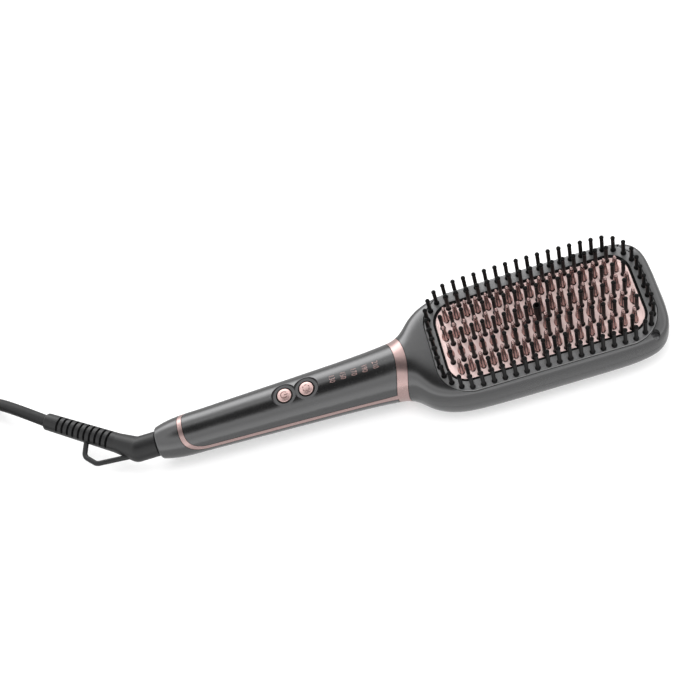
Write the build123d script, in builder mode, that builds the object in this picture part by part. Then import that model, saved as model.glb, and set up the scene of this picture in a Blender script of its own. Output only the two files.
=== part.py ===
from build123d import *
import os
from math import cos, pi, radians, sin, sqrt, tan

os.makedirs("parts", exist_ok=True)

# Frame: +X from the cord to the head's tip, +Z the way the bristles point, origin on the table
# under the middle of the brush, which lies on its back. All sizes are in millimetres.

# Overall
handle_length = 143.0
head_length = 151.0
wall = 2.2
seam = 0.15
trim_seam = 0.3
running_gap = 0.1
free_gap = 0.3

# Handle
axis_z = 17.5
tail_radius = 11.3
handle_taper = 4.6
ring_flare = 1.4
flare_power = 10
tail_narrowing = 2.2
tail_share = 0.09
tail_fillet = 1.5
handle_points = 12
sleeve_overlap = (11.0, 12.0)
sleeve_wall = 1.6

# Accent ring and strip
ring_arc_radius = 32.0
ring_width = 6.0
ring_reach = 7.0
strip_height = 2.6
strip_flare = 3.6
strip_flare_length = 30.0
strip_slope = 0.35
strip_rise = 0.3
arch_length = 12.0
arch_height = 9.0
arch_place = 29.5

# Head
head_half_width = 34.6
head_centre_z = 19.5
head_rise = 14.5
round_fullness = 0.5523
upper_fullness = 1.0
lower_fullness = 0.84
neck_length = 64.0
nose_length = 42.0
belly_cut = 0.3
# Neck stations: place along the neck, then how far width, top and fullness have gone to the head's.
neck_stations = (
    (0.10, 0.17, 0.20, 0.16),
    (0.20, 0.50, 0.62, 0.50),
    (0.32, 0.75, 1.30, 0.85),
    (0.45, 0.89, 1.10, 1.00),
    (0.68, 0.98, 1.00, 1.00),
    (1.00, 1.00, 1.00, 1.00),
)
# Nose stations: place along the nose, then the shares of width, rise and drop that are left.
nose_stations = (
    (0.00, 1.00, 1.00, 1.00),
    (0.33, 0.995, 1.00, 0.98),
    (0.60, 0.97, 0.97, 0.91),
    (0.78, 0.915, 0.92, 0.78),
    (0.87, 0.84, 0.885, 0.66),
    (0.935, 0.73, 0.80, 0.52),
    (0.98, 0.55, 0.62, 0.36),
    (1.00, 0.38, 0.42, 0.24),
)

# Working face
face_z = 32.0
neck_margin = 21.3
tip_margin = 5.9
side_margin = 2.8
frame_corner = 19.0
frame_thickness = 3.0
frame_wall = 1.5
frame_lip_thickness = 1.5
frame_edge = 0.4
edge_inset = 2.25
plate_end_border = 6.1
plate_side_border = 7.1
plate_corner = 11.5
plate_drop = 1.2
plate_thickness = 2.5
seal_width = 0.9
seal_drop = 0.7
seal_foot = 1.7
seal_foot_thickness = 1.5
ledge_thickness = 2.0

# Bristles and heating teeth
pitch_x = 6.1
pitch_y = 5.6
crown_drop = 3.2
crown_reach = 52.0
edge_count = 54
edge_height = 16.8
bristle_height = 16.7
tooth_height = 13.2
shaft_radius = 1.1
tip_radius = 1.3
foot_radius = 1.65
foot_height = 1.7
shank_radius = 0.9
rivet_radius = 1.2
rivet_height = 0.9
tooth_foot = (6.2, 3.6)
tooth_tip = (2.8, 1.9)
tooth_edge = 0.7
row_end_margin = 3.0
row_side_margin = 2.2
# Rows across the plate: which kind, how many rows from the middle, how many fewer than a full row
plate_rows = (
    ("bristle", 0, 1),
    ("tooth", 1, 0),
    ("bristle", 2, 0),
    ("tooth", 3, 1),
    ("bristle", 4, 2),
)

# Heater stack
pad_end_margin = 13.8
pad_width = 7.4
pad_thickness = 2.6
pad_shift = 0.45
clamp_overhang = 2.0
clamp_width = 20.0
clamp_thickness = 1.5
mat_overhang = 3.0
mat_width = 31.0
mat_thickness = 1.2
clamp_screw_inset = 2.5
plate_skin = 1.0
fuse_radius = 1.9
fuse_length = 11.0
sensor_radius = 1.2
sensor_length = 5.0
side_band_row = 3
fuse_offset = 14.0
seat_gap = 0.05
lead_radius = 0.9
lead_bend = 4.0
lead_overlap = 4.0
lead_end_run = 5.0
heater_lead_y = 4.0
sensor_lead_y = 6.6

# Ion outlet
nozzle_radius = 2.1
nozzle_bore = 1.4
nozzle_height = 14.0
nozzle_flange_radius = 4.2
nozzle_flange_thickness = 1.8
nozzle_edge = 0.5
needle_radius = 0.4
needle_base = 4.0
needle_depth = 5.0

# Control board and buttons
board_tail_margin = 30.0
board_ring_margin = 4.0
board_half_width = 8.0
board_thickness = 1.6
# Board components: how far behind the ring they start, length, lowest y, width and height
component_boxes = ((23.2, 6.0, 2.0, 5.5, 1.2), (78.0, 6.0, -5.0, 10.0, 4.0))
capacitor_place = 5.5
capacitor_radius = 2.6
capacitor_height = 5.5
# Buttons, numbers and screws are placed by how far they lie behind the ring
button_places = (64.5, 51.4)
button_names = ("power", "mode")
button_radius = 4.1
button_travel = 0.6
button_stand = 1.2
button_flange_radius = 4.9
button_flange_thickness = 1.2
dish_depth = 2.1
dish_floor_radius = 6.5
dish_mouth_radius = 6.9
dish_boss_radius = 7.2
switch_side = 6.0
switch_height = 3.8
plunger_radius = 1.7
plunger_top = 5.0
plunger_bottom = 2.4
stem_radius = 1.5
led_places = (36.0, 29.6, 23.2, 16.9, 10.5)
led_size = (2.0, 1.6, 0.8)
guide_bottom = 9.6
guide_thickness = 1.2
guide_half_width = 1.5
guide_overhang = 3.0
guide_pillar_radius = 1.1
guide_foot_radius = 0.6
ion_box = (21.0, 13.0, 8.0)
ion_box_place = 24.0
ion_box_top = -2.3
ion_rib = (2.0, 8.0)

# Screws
screw_head_radius = 2.2
screw_head_height = 1.6
screw_radius = 1.1
small_screw_head_radius = 1.8
small_screw_radius = 0.9
cross_share = 1.3
cross_width = 0.5
cross_depth = 0.6
pilot_clearance = 0.05
shank_clearance = 1.0
handle_shank = 11.0
board_shank = 5.0
head_shank = 14.0
frame_shank = 4.0
handle_seat_drop = 9.0
boss_floor_drop = 4.0
cover_boss_radius = 2.8
board_post_base = 3.0
board_post_radius = 1.8
board_post_tail_place = 9.0
board_post_ring_place = 56.0
board_post_y = 5.5
handle_screw_places = (84.0, 43.5)
boss_radius = 3.2
head_screw_tip_margin = 11.6
head_screw_side_margin = 5.1
recess_radius = 2.4
recess_depth = 6.0
screw_boss_wall = 1.2
frame_screw_inset = 2.4
frame_screw_spread = 30.0

# Cord swivel
bore_radius = 5.7
spindle_flange_radius = 7.0
spindle_flange_thickness = 2.2
hub_radius = 3.2
hub_length = 12.0
contact_radii = (4.8, 3.9)
contact_width = 2.5
contact_spacing = 5.0
contact_strip = 0.4
contact_half_width = 2.0
contact_foot = 2.0
retainer_thickness = 1.8
elbow_radius = 7.3
elbow_length = 12.6
elbow_gap = 0.4
elbow_edge = 0.8
sleeve_angle = 34.0
sleeve_start_radius = 5.8
sleeve_end_radius = 5.1
sleeve_start = 14.0
sleeve_length = 62.7
slot_count = 10
slot_pitch = 3.8
slot_width = 1.5
slot_depth = 1.6
slot_spine = 3.6
slot_margin = 2.0
loop_radius = 1.5
loop_bend = 4.5
loop_points = ((-28.9, 18.4), (-32.2, 5.4), (-25.6, -1.4), (1.6, -3.6))

# Cord, coil and plug
cord_radius = 3.6
floor_gap = 0.1
coil_reach = 159.0
coil_y = 30.0
coil_columns = 2
coil_layers = 4
coil_outer_column = 42.0
tie_thickness = 0.9
tie_width = 12.0
tie_slack = 0.9
tie_corner = 3.0
coil_edge = 2.9
tie_angle = 300.0
stub_length = 27.0
plug_neck_y = -12.0
plug_length = 36.0
plug_half_width = 17.6
plug_half_height = 6.85
plug_corner = 5.5
plug_shoulder = 14.0
plug_shoulder_width = 27.2
plug_neck = (12.0, 10.0, 4.5)
pin_radius = 2.0
pin_length = 19.0
pin_spacing = 18.6
# The cord's way from the sleeve's tip to the coil, after its first point and before its last
cord_way = (
    (-14.9, 46.8, 16.6),
    (-29.4, 58.5, 12.2),
    (-42.6, 67.5, 7.4),
    (-54.7, 71.4, 5.0),
)

nose_x = (handle_length + head_length) / 2
tail_x = -nose_x
ring_x = nose_x - head_length
ring_front_x = ring_x + ring_reach
frame_half_length = (head_length - neck_margin - tip_margin) / 2
frame_half_width = head_half_width - side_margin
plate_x = nose_x - tip_margin - frame_half_length
plate_half_length = frame_half_length - plate_end_border
plate_half_width = frame_half_width - plate_side_border
full_row = int(2 * (plate_half_length - row_end_margin) / pitch_x) + 1
plate_top = face_z - plate_drop
plate_bottom = plate_top - plate_thickness
frame_bottom = face_z - frame_thickness
ring_centre_x = ring_front_x - ring_arc_radius - ring_width
board_top = axis_z
board_start_x = tail_x + board_tail_margin
board_end_x = ring_x - board_ring_margin
button_xs = [ring_x - place for place in button_places]
led_xs = [ring_x - place for place in led_places]
handle_screw_xs = [ring_x - place for place in handle_screw_places]
board_post_xs = (board_start_x + board_post_tail_place, ring_x - board_post_ring_place)
ion_box_x = ring_x - ion_box_place
arch_x = tail_x + arch_place
pad_length = 2 * (plate_half_length - pad_end_margin)
pad_offset_y = pitch_y + pad_shift
side_band_y = side_band_row * pitch_y
clamp_screw_x = (full_row / 2 - clamp_screw_inset) * pitch_x
ledge_top = frame_bottom


def keep(piece, name):
    piece.part.label = name
    export_step(piece.part, f"parts/{name}.step")


def handle_radius(x):
    share = (x - tail_x) / (ring_x - tail_x)
    radius = tail_radius + handle_taper * share + ring_flare * share**flare_power
    if share < tail_share:
        radius -= tail_narrowing * (1 - share / tail_share) ** 2
    return radius


def crown(x, height):
    return height - crown_drop * ((x - plate_x) / crown_reach) ** 2


# The handle's outside and inside are turned about its axis, the inside open towards the head.
def turned_handle(inset, start_x):
    with BuildPart() as form:
        with BuildSketch(Plane.XZ):
            with BuildLine():
                end_x = ring_front_x
                run = (end_x - start_x) / (handle_points - 1)
                xs = [start_x + run * i for i in range(handle_points)]
                top = [(x, axis_z + handle_radius(x) - inset) for x in xs]
                Spline(*top)
                Polyline(top[-1], (end_x, axis_z), (start_x, axis_z), top[0])
            make_face()
        revolve(axis=Axis((0, 0, axis_z), (1, 0, 0)))
    return form.part


# A section of the head: four curves that share upright and level tangents.
def head_section(x, half_width, centre_z, rise, drop, upper, lower):
    with BuildSketch(Plane.YZ.offset(x)) as section:
        with BuildLine():
            for side, height, fullness in ((1, rise, upper), (-1, rise, upper)):
                Bezier(
                    (side * half_width, centre_z),
                    (side * half_width, centre_z + fullness * height),
                    (side * fullness * half_width, centre_z + height),
                    (0, centre_z + height),
                )
            for side, depth, fullness in ((1, drop, lower), (-1, drop, lower)):
                Bezier(
                    (side * half_width, centre_z),
                    (side * half_width, centre_z - fullness * depth),
                    (side * fullness * half_width, centre_z - depth),
                    (0, centre_z - depth),
                )
        make_face()
    return section.sketch


def head_form(inset):
    sections = []
    for x in (ring_x - 10, ring_x - 5, ring_x):
        radius = handle_radius(x) - inset
        sections.append(
            head_section(x, radius, axis_z, radius, radius, round_fullness, round_fullness)
        )
    ring_radius = handle_radius(ring_x)
    for place, wide, top, full in neck_stations:
        centre_z = axis_z + (head_centre_z - axis_z) * wide
        ring_top = axis_z + ring_radius
        head_top = head_centre_z + head_rise
        sections.append(
            head_section(
                ring_x + neck_length * place,
                ring_radius + (head_half_width - ring_radius) * wide - inset,
                centre_z,
                ring_top + (head_top - ring_top) * top - centre_z - inset,
                centre_z + belly_cut - inset,
                round_fullness + (upper_fullness - round_fullness) * full,
                round_fullness + (lower_fullness - round_fullness) * full,
            )
        )
    for place, wide, top, low in nose_stations:
        sections.append(
            head_section(
                nose_x - nose_length + (nose_length - inset) * place,
                head_half_width * wide - inset,
                head_centre_z,
                head_rise * top - inset,
                (head_centre_z + belly_cut) * low - inset,
                upper_fullness,
                lower_fullness,
            )
        )
    with BuildPart() as form:
        loft(sections)
    return form.part


def block(low, high):
    with BuildPart() as box:
        with Locations(tuple((a + b) / 2 for a, b in zip(low, high))):
            Box(*[b - a for a, b in zip(low, high)])
    return box.part


# A flat plate with rounded corners on the working face's centre line.
def rounded_slab(half_length, half_width, corner, bottom, top):
    with BuildPart() as slab:
        with BuildSketch(Plane((plate_x, 0, bottom))):
            RectangleRounded(2 * half_length, 2 * half_width, corner)
        extrude(amount=top - bottom)
    return slab.part


def frame_slab(growth, bottom, top):
    return rounded_slab(
        frame_half_length + growth, frame_half_width + growth, frame_corner + growth, bottom, top
    )


def plate_slab(growth, bottom, top):
    return rounded_slab(
        plate_half_length + growth, plate_half_width + growth, plate_corner + growth, bottom, top
    )


def post(x, y, bottom, top, radius):
    with BuildPart() as rod:
        with BuildSketch(Plane((x, y, bottom))):
            Circle(radius)
        extrude(amount=top - bottom)
    return rod.part


def rod_along_x(start_x, end_x, radius, y=0.0, z=axis_z):
    with BuildPart() as rod:
        with BuildSketch(Plane(origin=(start_x, y, z), x_dir=(0, 1, 0), z_dir=(1, 0, 0))):
            Circle(radius)
        extrude(amount=end_x - start_x)
    return rod.part


def wire_between(points, radius):
    with BuildPart() as lead:
        with BuildLine() as route:
            FilletPolyline(*points, radius=lead_bend)
        with BuildSketch(Plane(origin=route.line @ 0, z_dir=route.line % 0)):
            Circle(radius)
        sweep(path=route.line)
    return lead.part


# The brush rests on its back, where the belly is cut flat.
reach = 2 * head_half_width
handle_outside = turned_handle(0, tail_x)
handle_inside = turned_handle(wall, tail_x + wall)
head_outside = head_form(0)
head_inside = head_form(wall)
with BuildPart() as handle_skin:
    add(handle_outside)
    tail_edge = handle_skin.edges().filter_by(GeomType.CIRCLE).sort_by(Axis.X)[0]
    fillet(tail_edge, tail_fillet)
    add(handle_inside, mode=Mode.SUBTRACT)
with BuildPart() as head_skin:
    add(head_outside)
    add(head_inside, mode=Mode.SUBTRACT)
    add(block((-reach, -reach, -reach), (2 * nose_x, reach, 0)), mode=Mode.SUBTRACT)

# The joint between handle and head follows two upright cylinders, with the accent ring between.
ring_end_x = ring_front_x + reach


def front_of_arc(radius):
    with BuildPart() as zone:
        add(block((ring_centre_x, -reach, -reach), (ring_end_x, reach, reach)))
        add(post(ring_centre_x, 0, -reach, reach, radius), mode=Mode.SUBTRACT)
    return zone.part


ahead_of_handle = front_of_arc(ring_arc_radius - trim_seam)
ahead_of_ring_start = front_of_arc(ring_arc_radius)
ring_zone = post(ring_centre_x, 0, -reach, reach, ring_arc_radius + ring_width)
behind_head = post(ring_centre_x, 0, -reach, reach, ring_arc_radius + ring_width + trim_seam)


# What lies above the accent strip, seen from the side. The strip bends up into an arch near the
# tail, and its upper edge climbs by the flare towards the ring.
def cover_zone(growth, flare):
    low = axis_z + strip_rise + strip_height - growth
    flare_x = ring_x - strip_flare_length
    arch_top = low + arch_height + growth
    climb = (1, strip_slope * flare / strip_flare)
    with BuildPart() as zone:
        with BuildSketch(Plane.XZ.offset(-reach)):
            with BuildLine():
                Spline((flare_x, low), (ring_front_x, low + flare), tangents=((1, 0), climb))
                Polyline(
                    (ring_front_x, low + flare),
                    (ring_front_x, reach),
                    (arch_x - arch_length - growth, reach),
                    (arch_x - arch_length - growth, arch_top),
                )
                EllipticalCenterArc(
                    (arch_x, arch_top),
                    arch_length + growth,
                    arch_height + growth,
                    start_angle=180,
                    arc_size=90,
                )
                Line((arch_x, low), (flare_x, low))
            make_face()
        extrude(amount=2 * reach)
    return zone.part


with BuildPart() as ring:
    add(head_skin.part)
    add(ahead_of_ring_start, mode=Mode.INTERSECT)
    add(ring_zone, mode=Mode.INTERSECT)
with BuildPart() as accent_trim:
    add(handle_skin.part)
    add(ahead_of_ring_start, mode=Mode.SUBTRACT)
    add(cover_zone(strip_height, 0), mode=Mode.INTERSECT)
    add(cover_zone(0, strip_flare), mode=Mode.SUBTRACT)
    add(ring.part)
keep(accent_trim, "accent_trim")

boss_floor = axis_z - boss_floor_drop
screw_seat = axis_z - handle_seat_drop

with BuildPart() as handle_top_cover:
    add(handle_skin.part)
    add(cover_zone(-trim_seam, strip_flare), mode=Mode.INTERSECT)
    add(ahead_of_handle, mode=Mode.SUBTRACT)
    for x in handle_screw_xs:
        add(post(x, 0, boss_floor, axis_z + handle_radius(x) - wall / 2, cover_boss_radius))
    for x in button_xs:
        dish_floor = axis_z + handle_radius(x) - dish_depth
        add(post(x, 0, dish_floor - wall + free_gap, dish_floor, dish_boss_radius))
    for x in button_xs:
        dish_floor = axis_z + handle_radius(x) - dish_depth
        with BuildSketch(Plane((x, 0, dish_floor))):
            Circle(dish_floor_radius)
        with BuildSketch(Plane((x, 0, dish_floor + dish_depth + wall))):
            Circle(dish_mouth_radius + wall / 2)
        loft(mode=Mode.SUBTRACT)
        add(post(x, 0, axis_z, dish_floor + wall, button_radius + free_gap), mode=Mode.SUBTRACT)
    for x in handle_screw_xs:
        pilot_top = screw_seat + handle_shank + shank_clearance
        pilot = post(x, 0, boss_floor, pilot_top, screw_radius + pilot_clearance)
        add(pilot, mode=Mode.SUBTRACT)
keep(handle_top_cover, "handle_top_cover")

with BuildPart() as handle_lower_shell:
    add(handle_skin.part)
    add(cover_zone(strip_height + trim_seam, 0), mode=Mode.SUBTRACT)
    add(ahead_of_handle, mode=Mode.SUBTRACT)
    for x in handle_screw_xs:
        shell_floor = axis_z - handle_radius(x) + wall / 2
        add(post(x, 0, shell_floor, boss_floor - seam, boss_radius))
    for x in board_post_xs:
        for y in (-board_post_y, board_post_y):
            inner = handle_radius(x) - wall / 2
            low = axis_z - sqrt(inner**2 - (board_post_y + board_post_radius / 2) ** 2)
            add(post(x, y, low, board_top - board_thickness, board_post_radius))
            pilot = post(
                x, y, low + board_post_base, board_top, small_screw_radius + pilot_clearance
            )
            add(pilot, mode=Mode.SUBTRACT)
    for x in (ion_box_x - ion_box[0] / 3, ion_box_x + ion_box[0] / 3):
        low = axis_z - handle_radius(x) + wall / 2
        seat = axis_z + ion_box_top - ion_box[2]
        half_rib = (ion_rib[0] / 2, ion_rib[1] / 2)
        add(block((x - half_rib[0], -half_rib[1], low), (x + half_rib[0], half_rib[1], seat)))
    for x in handle_screw_xs:
        add(post(x, 0, 0, screw_seat, screw_head_radius + free_gap), mode=Mode.SUBTRACT)
        add(post(x, 0, 0, axis_z, screw_radius + free_gap / 2), mode=Mode.SUBTRACT)
    add(rod_along_x(tail_x - wall, tail_x + 2 * wall, bore_radius), mode=Mode.SUBTRACT)
keep(handle_lower_shell, "handle_lower_shell")


# Screws: a round head, a shank and a shallow cross in the head.
def screw(x, y, seat_z, shank, head_radius, shank_radius, up):
    with BuildPart() as fastener:
        head_low = min(seat_z, seat_z - up * screw_head_height)
        add(post(x, y, head_low, head_low + screw_head_height, head_radius))
        shank_low = min(seat_z, seat_z + up * shank)
        add(post(x, y, shank_low, shank_low + shank, shank_radius))
        cross_z = seat_z - up * screw_head_height
        with Locations((x, y, cross_z)):
            Box(head_radius * cross_share, cross_width, 2 * cross_depth, mode=Mode.SUBTRACT)
            Box(cross_width, head_radius * cross_share, 2 * cross_depth, mode=Mode.SUBTRACT)
    return fastener.part


def screw_group(name, fasteners):
    with BuildPart() as group:
        add(fasteners)
    keep(group, name)


screw_group(
    "handle_screws",
    [
        screw(x, 0, screw_seat, handle_shank, screw_head_radius, screw_radius, 1)
        for x in handle_screw_xs
    ],
)
screw_group(
    "board_screws",
    [
        screw(x, y, board_top, board_shank, small_screw_head_radius, small_screw_radius, -1)
        for x in board_post_xs
        for y in (-board_post_y, board_post_y)
    ],
)

# Inside the handle
with BuildPart() as control_board:
    add(
        block(
            (board_start_x, -board_half_width, board_top - board_thickness),
            (board_end_x, board_half_width, board_top),
        )
    )
    for x in handle_screw_xs:
        add(post(x, 0, 0, board_top, boss_radius + free_gap), mode=Mode.SUBTRACT)
    for x in board_post_xs:
        for y in (-board_post_y, board_post_y):
            hole = post(x, y, 0, board_top, small_screw_radius + free_gap / 2)
            add(hole, mode=Mode.SUBTRACT)
keep(control_board, "control_board")

with BuildPart() as board_components:
    for place, box_length, low_y, box_width, height in component_boxes:
        low = (ring_x - place, low_y, board_top)
        add(block(low, (low[0] + box_length, low_y + box_width, board_top + height)))
    capacitor_x = board_start_x + capacitor_place
    add(post(capacitor_x, 0, board_top, board_top + capacitor_height, capacitor_radius))
keep(board_components, "board_components")

with BuildPart() as indicator_leds:
    with Locations([(x, 0, board_top + led_size[2] / 2) for x in led_xs]):
        Box(*led_size)
keep(indicator_leds, "indicator_leds")

with BuildPart() as light_guide:
    guide_low = axis_z + guide_bottom
    guide_start = led_xs[0] - guide_overhang
    guide_end = led_xs[-1] + guide_overhang
    add(
        block(
            (guide_start, -guide_half_width, guide_low),
            (guide_end, guide_half_width, guide_low + guide_thickness),
        )
    )
    for x in led_xs:
        add(post(x, 0, board_top + led_size[2] + free_gap, guide_low, guide_pillar_radius))
    for x in (guide_start + guide_foot_radius, guide_end - guide_foot_radius):
        add(post(x, 0, board_top, guide_low, guide_foot_radius))
keep(light_guide, "light_guide")

with BuildPart() as switch_bodies:
    with Locations([(x, 0, board_top + switch_height / 2) for x in button_xs]):
        Box(switch_side, switch_side, switch_height)
    for x in button_xs:
        low = board_top + plunger_bottom - button_travel - free_gap
        add(
            post(x, 0, low, board_top + switch_height, plunger_radius + running_gap),
            mode=Mode.SUBTRACT,
        )
keep(switch_bodies, "switch_bodies")

for x, button_name in zip(button_xs, button_names):
    dish_floor = axis_z + handle_radius(x) - dish_depth
    flange_top = dish_floor - wall
    cap_top = dish_floor + button_stand
    with BuildPart() as button:
        add(post(x, 0, flange_top, cap_top, button_radius))
        rim = button.edges().group_by(Axis.Z)[-1]
        fillet(rim, button_stand / 3)
        add(post(x, 0, flange_top - button_flange_thickness, flange_top, button_flange_radius))
        add(post(x, 0, board_top + plunger_top, flange_top, stem_radius))
    keep(button, f"{button_name}_button")
    with BuildPart() as plunger:
        add(post(x, 0, board_top + plunger_bottom, board_top + plunger_top, plunger_radius))
    keep(plunger, f"{button_name}_switch_plunger")

with BuildPart() as ion_generator:
    top = axis_z + ion_box_top
    add(
        block(
            (ion_box_x - ion_box[0] / 2, -ion_box[1] / 2, top - ion_box[2]),
            (ion_box_x + ion_box[0] / 2, ion_box[1] / 2, top),
        )
    )
keep(ion_generator, "ion_generator")

# The sleeve that joins handle and head under the accent ring
sleeve_low_x = ring_x - sleeve_overlap[0]
sleeve_high_x = ring_x + sleeve_overlap[1]
collar_x = ring_x - sleeve_wall / 2
with BuildPart() as neck_sleeve:
    sleeve_radius = handle_radius(sleeve_low_x) - wall - seam
    add(rod_along_x(sleeve_low_x, sleeve_high_x, sleeve_radius))
    collar_radius = handle_radius(collar_x) - wall - seam
    add(rod_along_x(collar_x, collar_x + sleeve_wall, collar_radius))
    sleeve_bore = rod_along_x(sleeve_low_x, sleeve_high_x, sleeve_radius - sleeve_wall)
    add(sleeve_bore, mode=Mode.SUBTRACT)
keep(neck_sleeve, "neck_sleeve")

# Head shells
head_screw_x = nose_x - head_screw_tip_margin
head_screw_y = head_half_width - head_screw_side_margin
screw_spots = [(head_screw_x, -head_screw_y), (head_screw_x, head_screw_y)]
frame_screw_y = frame_half_width - frame_screw_inset
frame_screw_spots = [
    (plate_x + dx, y)
    for dx in (-frame_screw_spread, frame_screw_spread)
    for y in (-frame_screw_y, frame_screw_y)
]
recess_floor = face_z - recess_depth
screw_boss_radius = recess_radius + screw_boss_wall
with BuildPart() as ledge:
    add(frame_slab(wall, ledge_top - ledge_thickness, ledge_top))
    for x, y in screw_spots:
        add(post(x, y, head_centre_z, face_z, screw_boss_radius))
    add(head_outside, mode=Mode.INTERSECT)
    add(plate_slab(seal_width + frame_wall + seam, 0, ledge_top), mode=Mode.SUBTRACT)
with BuildPart() as back_bosses:
    for x, y in screw_spots:
        add(post(x, y, wall, head_centre_z - seam, screw_boss_radius))
    add(head_outside, mode=Mode.INTERSECT)
with BuildPart() as head_front_shell:
    add(head_skin.part)
    add(behind_head, mode=Mode.SUBTRACT)
    add(ledge.part)
    add(frame_slab(trim_seam, ledge_top, 2 * face_z), mode=Mode.SUBTRACT)
    add(block((-reach, -reach, -reach), (2 * nose_x, reach, head_centre_z)), mode=Mode.SUBTRACT)
    for x, y in screw_spots:
        add(post(x, y, recess_floor, 2 * face_z, recess_radius), mode=Mode.SUBTRACT)
        add(post(x, y, 0, face_z, screw_radius + free_gap / 2), mode=Mode.SUBTRACT)
    for x, y in frame_screw_spots:
        hole = post(x, y, 0, ledge_top, small_screw_radius + free_gap / 2)
        add(hole, mode=Mode.SUBTRACT)
keep(head_front_shell, "head_front_shell")

with BuildPart() as head_back_shell:
    add(head_skin.part)
    add(behind_head, mode=Mode.SUBTRACT)
    shell_top = head_centre_z - seam
    above = block((-reach, -reach, shell_top), (2 * nose_x, reach, 2 * face_z))
    add(above, mode=Mode.SUBTRACT)
    add(back_bosses.part)
    for x, y in screw_spots:
        pilot_floor = recess_floor - head_shank - shank_clearance
        pilot = post(x, y, pilot_floor, 2 * face_z, screw_radius + pilot_clearance)
        add(pilot, mode=Mode.SUBTRACT)
keep(head_back_shell, "head_back_shell")

screw_group(
    "head_screws",
    [
        screw(x, y, recess_floor, head_shank, screw_head_radius, screw_radius, -1)
        for x, y in screw_spots
    ],
)
screw_group(
    "frame_screws",
    [
        screw(
            x,
            y,
            ledge_top - ledge_thickness,
            frame_shank,
            small_screw_head_radius,
            small_screw_radius,
            1,
        )
        for x, y in frame_screw_spots
    ],
)

# Bristle frame with its lip under the seal
lip_top = plate_bottom - seal_foot_thickness
with BuildPart() as bristle_frame:
    add(frame_slab(0, frame_bottom, face_z))
    fillet(bristle_frame.edges().group_by(Axis.Z)[-1], frame_edge)
    add(plate_slab(seal_width + frame_wall, lip_top - frame_lip_thickness, frame_bottom))
    add(plate_slab(seal_width, lip_top, face_z), mode=Mode.SUBTRACT)
    add(plate_slab(seal_width - seal_foot, 0, face_z), mode=Mode.SUBTRACT)
    for x, y in frame_screw_spots:
        pilot_top = ledge_top - ledge_thickness + frame_shank + pilot_clearance
        pilot = post(x, y, frame_bottom, pilot_top, small_screw_radius + pilot_clearance)
        add(pilot, mode=Mode.SUBTRACT)
keep(bristle_frame, "bristle_frame")

with BuildPart() as plate_seal:
    add(plate_slab(seal_width, lip_top, face_z - seal_drop))
    add(plate_slab(0, plate_bottom, face_z), mode=Mode.SUBTRACT)
    add(plate_slab(seal_width - seal_foot, 0, face_z), mode=Mode.SUBTRACT)
keep(plate_seal, "plate_seal")


# A bristle or one of its kin: foot, shaft and ball tip, with a rivet shank where it goes through.
def bristle(x, y, foot_z, height, shank):
    neck = sqrt(tip_radius**2 - shaft_radius**2)
    with BuildPart() as pin:
        with BuildSketch(Plane(origin=(x, y, foot_z), x_dir=(1, 0, 0), z_dir=(0, -1, 0))):
            with BuildLine():
                ThreePointArc(
                    (foot_radius, 0),
                    (foot_radius * 0.86, foot_height * 0.62),
                    (shaft_radius, foot_height),
                )
                Line((shaft_radius, foot_height), (shaft_radius, height - tip_radius - neck))
                ThreePointArc(
                    (shaft_radius, height - tip_radius - neck),
                    (tip_radius, height - tip_radius),
                    (0, height),
                )
                Line((0, height), (0, -shank))
                if shank:
                    rivet_z = rivet_height - shank
                    Polyline(
                        (0, -shank),
                        (rivet_radius, -shank),
                        (rivet_radius, rivet_z),
                        (shank_radius, rivet_z),
                        (shank_radius, 0),
                        (foot_radius, 0),
                    )
                else:
                    Line((0, 0), (foot_radius, 0))
            make_face()
        revolve(axis=Axis((x, y, foot_z), (0, 0, 1)))
    return pin.part


# Edge bristles stand along a rounded rectangle on the frame: half of it, and its mirror image.
edge_length = frame_half_length - edge_inset
edge_width = frame_half_width - edge_inset
with BuildLine() as edge_path:
    FilletPolyline(
        (0, edge_width),
        (edge_length, edge_width),
        (edge_length, -edge_width),
        (0, -edge_width),
        radius=frame_corner - edge_inset,
    )
half_count = edge_count // 2
half_spots = [edge_path.line @ ((i + 0.5) / half_count) for i in range(half_count)]
edge_spots = [(plate_x + side * spot.X, spot.Y) for spot in half_spots for side in (1, -1)]
with BuildPart() as edge_bristles:
    add([bristle(x, y, face_z, crown(x, edge_height), 0) for x, y in edge_spots])
keep(edge_bristles, "edge_bristles")


# The middle row leaves room for the outlet post.
def row_spots(kind):
    spots = []
    post_room = nozzle_radius + foot_radius + free_gap
    for row_kind, row, missing in plate_rows:
        y = row * pitch_y
        count = full_row - missing
        inside = row_kind == kind and y <= plate_half_width - row_side_margin
        for side in (1, -1) if row else (1,):
            for i in range(count):
                dx = (i - (count - 1) / 2) * pitch_x
                if inside and (row or abs(dx) > post_room):
                    spots.append((plate_x + dx, side * y))
    return spots


bristle_spots = row_spots("bristle")
with BuildPart() as plate_bristles:
    rise = face_z - plate_top
    shank = plate_thickness + rivet_height
    add(
        [bristle(x, y, plate_top, crown(x, bristle_height) + rise, shank) for x, y in bristle_spots]
    )
keep(plate_bristles, "plate_bristles")


def tooth(x, y):
    with BuildPart() as blade:
        with BuildSketch(Plane(origin=(x, y, plate_top), x_dir=(0, 1, 0), z_dir=(0, 0, 1))):
            SlotOverall(*tooth_foot)
        tip_z = face_z + crown(x, tooth_height)
        with BuildSketch(Plane(origin=(x, y, tip_z), x_dir=(0, 1, 0), z_dir=(0, 0, 1))):
            SlotOverall(*tooth_tip)
        loft()
        fillet(blade.edges().group_by(Axis.Z)[-1], tooth_edge)
    return blade.part


with BuildPart() as heating_teeth:
    add([tooth(x, y) for x, y in row_spots("tooth")])
keep(heating_teeth, "heating_teeth")

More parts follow.
